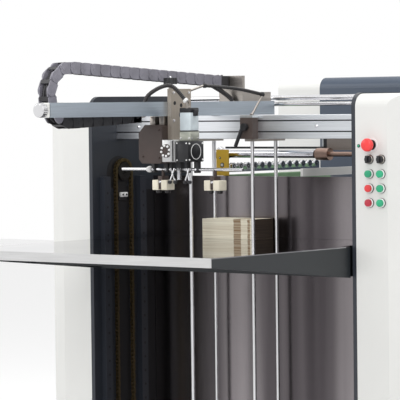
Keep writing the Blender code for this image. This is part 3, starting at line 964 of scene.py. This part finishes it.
def makeKnobs():
    low, high = nodeBox["arm_knob"]
    centre = centreOf("arm_knob")
    radius, count = (high.x - low.x) / 2, knobs["flutes"] * 2
    outline = []
    for i in range(count):
        turn, reach = 2 * pi * i / count, radius - knobs["fluteDepth"] * (i % 2)
        outline.append((reach * cos(turn), reach * sin(turn)))
    mould = Mould()
    mould.add(plateShape(outline, (high.y - low.y) * 0.8), at(centre, (0, 1, 0)))
    half = (high.y - low.y) / 2
    rim = [(-half, radius * 0.8), (-half + 0.002, radius * 0.88), (half - 0.002, radius * 0.88)]
    mould.turn(rim + [(half, radius * 0.8)], 32, centre, (0, 1, 0))
    mould.turn([(half, radius * 0.4), (half + 0.0009, radius * 0.4)], 20, centre, (0, 1, 0))
    makePiece("knurled_knob", mould, ("chrome",), ("arm_knob",), body="arm_knob")
    low, high = nodeBox["star_knob"]
    centre = centreOf("star_knob")
    radius, count = (high.x - low.x) / 2, knobs["lobePoints"]
    outline = []
    for i in range(count):
        turn = 2 * pi * i / count
        reach = radius - knobs["lobeDepth"] * (0.5 - 0.5 * cos(knobs["lobes"] * turn))
        outline.append((reach * cos(turn), reach * sin(turn)))
    mould = Mould()
    mould.add(rounded(plateShape(outline, high.z - low.z), 0.003), at(centre))
    mould.turn([(0, 0.007), (0.0014, 0.007)], 16, (centre.x, centre.y, low.z - 0.0013))
    stud = [(0, 0.004), (0.004, 0.004), (0.005, 0.003)]
    mould.turn(stud, 12, (centre.x, centre.y, high.z), look=1)
    makePiece("star_grip", mould, ("blackPlastic", "chrome"), ("star_knob",), body="star_knob")


makeKnobs()

beamSlots = {
    "heights": (1.4155, 1.3805), "mouth": 0.0042, "depth": 0.007, "bolts": (-0.43, -0.25, 0.3, 0.45),
    "boltHeight": 1.398,
}


def makeBeam():
    low, high = nodeBox["cross_beam"]
    mouth, back = beamSlots["mouth"] / 2, low.y + beamSlots["depth"]
    outline = [(low.y + 0.001, low.z), (low.y, low.z + 0.001)]
    for z in sorted(beamSlots["heights"]):
        outline += [(low.y, z - mouth), (back, z - mouth), (back, z + mouth), (low.y, z + mouth)]
    outline += [(low.y, high.z - 0.001), (low.y + 0.001, high.z), (high.y, high.z), (high.y, low.z)]
    mould = Mould()
    stand = Matrix(((0, 0, 1, 0), (1, 0, 0, 0), (0, 1, 0, 0), (0, 0, 0, 1)))
    mould.add(plateShape(outline, high.x - low.x), stand)
    for z in beamSlots["heights"]:
        shadow = blockShape((low.x + 0.001, low.y + 0.0035, z - 0.002),
                            (high.x - 0.001, low.y + 0.0065, z + 0.002))
        mould.add(shadow, None, 1)
    for x in beamSlots["bolts"]:
        hexBolt(mould, (x, low.y, beamSlots["boltHeight"]), (0, -1, 0), 0.0042, 2)
    coats = ("beamMetal", "deepBlack", "chrome")
    makePiece("slotted_beam", mould, coats, ("cross_beam",))


makeBeam()

controls = {
    "base": 0.0036, "bezel": 0.0068, "capRadius": 0.0112, "stem": 0.0085, "collarFront": 0.0058,
    "gap": 0.0003,
    "colours": {"left_button_2": "redButton", "left_button_3": "darkRedButton"},
}


def makeButtons():
    for name in sorted(nodes):
        if "_button_" not in name and "_selector" not in name:
            continue
        low, high = nodeBox[name]
        radius = (high.x - low.x) / 2
        place = at(((low.x + high.x) / 2, high.y, (low.z + high.z) / 2), (0, -1, 0))
        length, cap = high.y - low.y, controls["capRadius"]
        base, bezel = controls["base"], controls["bezel"]
        mould = Mould()
        mould.add(turnedShape([(0, radius), (base, radius), (base, radius - 0.001)], 32), place, 0)
        ring = [(base, radius - 0.0006), (bezel - 0.001, radius - 0.0006), (bezel, radius - 0.002)]
        mould.add(turnedShape(ring, 32), place, 1)
        if "_selector" in name:
            disc = [(bezel, cap), (length * 0.6, cap), (length * 0.62, cap * 0.9)]
            mould.add(turnedShape(disc, 28), place, 2)
            mould.add(blockShape((-0.0038, -cap, length * 0.55), (0.0038, cap, length), 0.0016), place, 2)
            coats = ("blackPlastic", "groundSteel", "blackPlastic")
            makePiece(name + "_switch", mould, coats, (name,), body=name)
            continue
        crown = [(bezel, cap), (length - 0.002, cap), (length - 0.0006, cap * 0.93), (length, cap * 0.75)]
        mould.add(turnedShape(crown, 28), place, 2)
        colour = controls["colours"].get(name, "greenPlastic")
        makePiece(name + "_cap", mould, ("blackPlastic", "whitePlastic", colour), (name,))


def makeStop():
    low, high = nodeBox["emergency_stop"]
    centre = ((low.x + high.x) / 2, high.y, (low.z + high.z) / 2)
    radius, length = (high.x - low.x) / 2, high.y - low.y
    mould = Mould()
    head = [(0, radius * 0.62), (0.007, radius * 0.93), (0.01, radius), (length - 0.007, radius),
            (length - 0.0025, radius * 0.9), (length, radius * 0.66)]
    mould.turn(head, 40, centre, (0, -1, 0))
    stem, gap = controls["stem"], controls["gap"]
    mould.turn([(-0.0055, stem - 0.0006), (0.001, stem - 0.0006)], 24, centre, (0, -1, 0), 1)
    coats = ("redPlastic", "blackPlastic")
    makePiece("stop_head", mould, coats, ("emergency_stop",), body="emergency_stop")
    mould = Mould()
    face = (centre[0], -gap, centre[2])
    mould.add(ringShape(stem, radius * 0.78, 0.0, controls["collarFront"] - gap, 36), at(face, (0, -1, 0)))
    mould.add(ringShape(radius * 0.74, radius * 1.06, 0.0, 0.0016, 36), at(face, (0, -1, 0)), 1)
    makePiece("stop_base", mould, ("blackPlastic", "whitePlastic"))


makeButtons()
makeStop()
print("controls fitted out")

plateDetail = {
    "screwSpacing": 0.0465, "screwRadius": 0.0042, "screwRows": (0.053, 0.237), "screwLow": 0.11,
    "screwHigh": 1.225, "railDepth": 0.02, "shadeDisc": 0.058,
    "shadedSlots": ((0.2545, 0.3135, 0.09, 1.186, 0.0008), (0.118, 0.182, 0.2, 1.2, 0.0006)),
    "sensor": {"middle": 0.15, "apart": 0.009, "half": 0.0075, "low": 1.164, "high": 1.18, "lens": 1.172},
}


def makePlateDetail(side):
    size = plateDetail
    sign = -1 if side == "left" else 1
    plate, chain = nodeBox[side + "_side_plate"], nodeBox[side + "_sprocket"]
    railFace = plate[1].x if side == "left" else plate[0].x
    wall = railFace + sign * size["railDepth"]
    inward = (-sign, 0, 0)
    centre = centreOf(side + "_sprocket")
    mould = Mould()
    for y in size["screwRows"]:
        z = size["screwLow"]
        while z < size["screwHigh"]:
            screw = [(-0.002, size["screwRadius"]), (0.0002, size["screwRadius"])]
            mould.turn(screw, 10, (railFace, y, z), inward)
            z += size["screwSpacing"]
    disc = size["shadeDisc"]
    mould.turn([(-0.001, disc), (0.0003, disc)], 40, (wall, centre.y - 0.02, centre.z - 0.006), inward)
    # painted shade: thin black sheets on the wall where the gaps lie in shade
    for front, back, bottom, top, thickness in size["shadedSlots"]:
        low, high = sorted((wall, wall - sign * thickness))
        mould.block((low, front, bottom), (high, back, top))
    makePiece(side + "_plate_openings", mould, ("deepBlack",))

    mould = Mould()  # the height sensor between the two runs of the chain
    sensor = size["sensor"]
    for shift in (-sensor["apart"], sensor["apart"]):
        y = sensor["middle"] + shift
        low, high = sorted((wall - sign * 0.0008, wall - sign * 0.012))
        eye = blockShape((low, y - sensor["half"], sensor["low"]),
                         (high, y + sensor["half"], sensor["high"]), 0.002, 2)
        mould.add(eye, None, 0)
        face = wall - sign * 0.012
        mould.turn([(0, 0.0035), (0.0016, 0.003)], 10, (face, y, sensor["lens"]), inward, 1)
    low, high = sorted((wall, wall - sign * 0.006))
    mould.block((low, 0.13, 1.152), (high, 0.17, 1.166), 0.0015, 1, look=1)
    face = chain[1].x if side == "left" else chain[0].x
    mould.turn([(-0.011, 0.0115), (0.001, 0.0115), (0.002, 0.0105)], 20, (face, centre.y, centre.z), inward,
               2)
    hexBolt(mould, (face - sign * 0.002, centre.y, centre.z), inward, 0.0045, 2)
    coats = ("whitePlastic", "blackPlastic", "darkSteel")
    makePiece(side + "_chain_sensor", mould, coats)


for each in ("left", "right"):
    makePlateDetail(each)


pilotLamp = {"across": 0.5515, "drop": 0.003, "gap": 0.0002}


def makePanelDetail():
    mould = Mould()  # the small pilot lamp left of the stop button
    place = (pilotLamp["across"], -pilotLamp["gap"], middleOf("emergency_stop", axisZ) - pilotLamp["drop"])
    stand = at(place, (0, -1, 0))
    mould.add(turnedShape([(0, 0.0052), (0.0016, 0.0052), (0.0022, 0.0044)], 20), stand, 0)
    mould.add(turnedShape([(0.0018, 0.0038), (0.0034, 0.0032), (0.0042, 0.0018)], 16), stand, 1)
    makePiece("pilot_lamp", mould, ("blackPlastic", "greenPlastic"))


makePanelDetail()


rollerDetail = {
    "rise": 0.004, "back": 0.006, "thick": 0.006, "tall": 0.007,
    "knobHeight": 1.2675, "knobRadius": 0.0085, "pinShift": 0.0092, "pinDrop": 0.0275, "pinRadius": 0.0042,
}
pressWheels = {"count": 13, "first": 0.375, "pitch": 0.039, "height": 1.263, "hub": 0.0072}


def makeRollerDetail():
    size = rollerDetail
    roller, plate = nodeBox["feed_roller"], nodeBox["wheel_end_plate"]
    mould = Mould()
    top, back = roller[1].z + size["rise"], roller[1].y + size["back"]
    left, right = lowOf("roller_bracket", axisX) + 0.006, lowOf("drive_panel", axisX) + 0.012
    bar = blockShape((left, back, top), (right, back + size["thick"], top + size["tall"]), 0.001, 1)
    mould.add(bar, None, 0)
    face = plate[0].y
    middle = (plate[0].x + plate[1].x) / 2
    ends = ((middle, size["knobHeight"], size["knobRadius"]),
            (middle - size["pinShift"], plate[1].z - size["pinDrop"], size["pinRadius"]))
    for x, z, radius in ends:
        stub = [(-0.006, radius), (0.0, radius), (0.0005, radius * 0.9)]
        mould.turn(stub, 16, (x, face, z), (0, -1, 0))
        hexBolt(mould, (x, face, z), (0, -1, 0), radius * 0.45, 1)
    makePiece("roller_stay", mould, ("blackPlastic", "whitePlastic"))

    low, high = nodeBox["roller_bracket"]
    mould = Mould()
    radius = (high.z - low.z) / 2
    length = high.x - low.x
    cone = [(0, radius), (0.004, radius), (0.01, radius * 0.72), (length - 0.006, radius * 0.6),
            (length, radius * 0.5), (length + 0.0045, radius * 0.3)]
    mould.turn(cone, 36, (low.x, (low.y + high.y) / 2, (low.z + high.z) / 2), (1, 0, 0))
    makePiece("roller_cone", mould, ("chrome",), ("roller_bracket",))

    mould = Mould()
    hub = pressWheels["hub"]
    for i in range(pressWheels["count"]):
        y = pressWheels["first"] + i * pressWheels["pitch"]
        place = at((highOf("wheel_rail", axisX), y, pressWheels["height"]), (1, 0, 0))
        mould.add(turnedShape([(-0.001, hub), (0.0004, hub)], 20), place, 0)
        mould.add(turnedShape([(0.0002, 0.003), (0.0016, 0.0028)], 10), place, 1)
    makePiece("wheel_hubs", mould, ("deepBlack", "chrome"))


makeRollerDetail()
print("bay fitted out")

lamps = {
    "front": {"place": (2.5, -6.0, 4.2), "aim": (0.2, 0.0, 1.0), "size": 4.0, "watts": 160},
    "left": {"place": (-4.5, -3.0, 3.4), "aim": (0.0, 0.2, 1.1), "size": 3.0, "watts": 70},
    "top": {"place": (0.0, 0.6, 5.0), "aim": (0.0, 0.3, 1.0), "size": 4.0, "watts": 110},
}
studio = {
    "floorSize": 30.0, "floorDrop": 0.001, "floorColour": shades(240, 240, 240), "fill": 0.62,
    "backdrop": 1.0, "floorGlow": 0.28,
}


def makeLamps():
    for name, lamp in lamps.items():
        data = bpy.data.lights.new(name + "Lamp", "AREA")
        data.size = lamp["size"]
        data.energy = lamp["watts"]
        made = bpy.data.objects.new(name + "Lamp", data)
        made.location = lamp["place"]
        direction = Vector(lamp["aim"]) - Vector(lamp["place"])
        made.rotation_euler = direction.to_track_quat("-Z", "Y").to_euler()
        bpy.context.scene.collection.objects.link(made)


def makeStudio():
    mesh = bpy.data.meshes.new("floor")
    shape = bmesh.new()
    bmesh.ops.create_grid(shape, x_segments=1, y_segments=1, size=studio["floorSize"] / 2)
    shape.to_mesh(mesh)
    shape.free()
    floor = bpy.data.objects.new("floor", mesh)
    floor.location = (0, 0, -studio["floorDrop"])
    bpy.context.scene.collection.objects.link(floor)

    def pale(start, place):
        speck = noise(start, place, 40.0, 2.0)
        colour = studio["floorColour"]
        seen = start.node("LightPath")
        return {
            "Base Color": speck.mix(colour, scaled(colour, 0.98)),
            "Roughness": 0.7,
            "Emission Color": seen.mix((0, 0, 0), (1, 1, 1)),
            "Emission Strength": studio["floorGlow"],
        }
    mesh.materials.append(finish("paleFloor", pale))
    world = bpy.data.worlds.new("studio")
    world.use_nodes = True
    tree = world.node_tree
    start = Wire(tree)
    path = tree.nodes.new("ShaderNodeLightPath")
    rays = ("Is Camera Ray", "Is Glossy Ray", "Is Transmission Ray")
    seen = [Wire(tree, path.outputs[name]) for name in rays]
    shown = start.sum("MAXIMUM", seen[0], start.sum("MAXIMUM", seen[1], seen[2]))
    level = studio["fill"] + shown * (studio["backdrop"] - studio["fill"])
    background = tree.nodes["Background"]
    background.inputs["Color"].default_value = (1, 1, 1, 1)
    tree.links.new(level.socket, background.inputs["Strength"])
    bpy.context.scene.world = world


makeLamps()
makeStudio()
bpy.context.scene.view_settings.view_transform = "Standard"
print("studio lit")
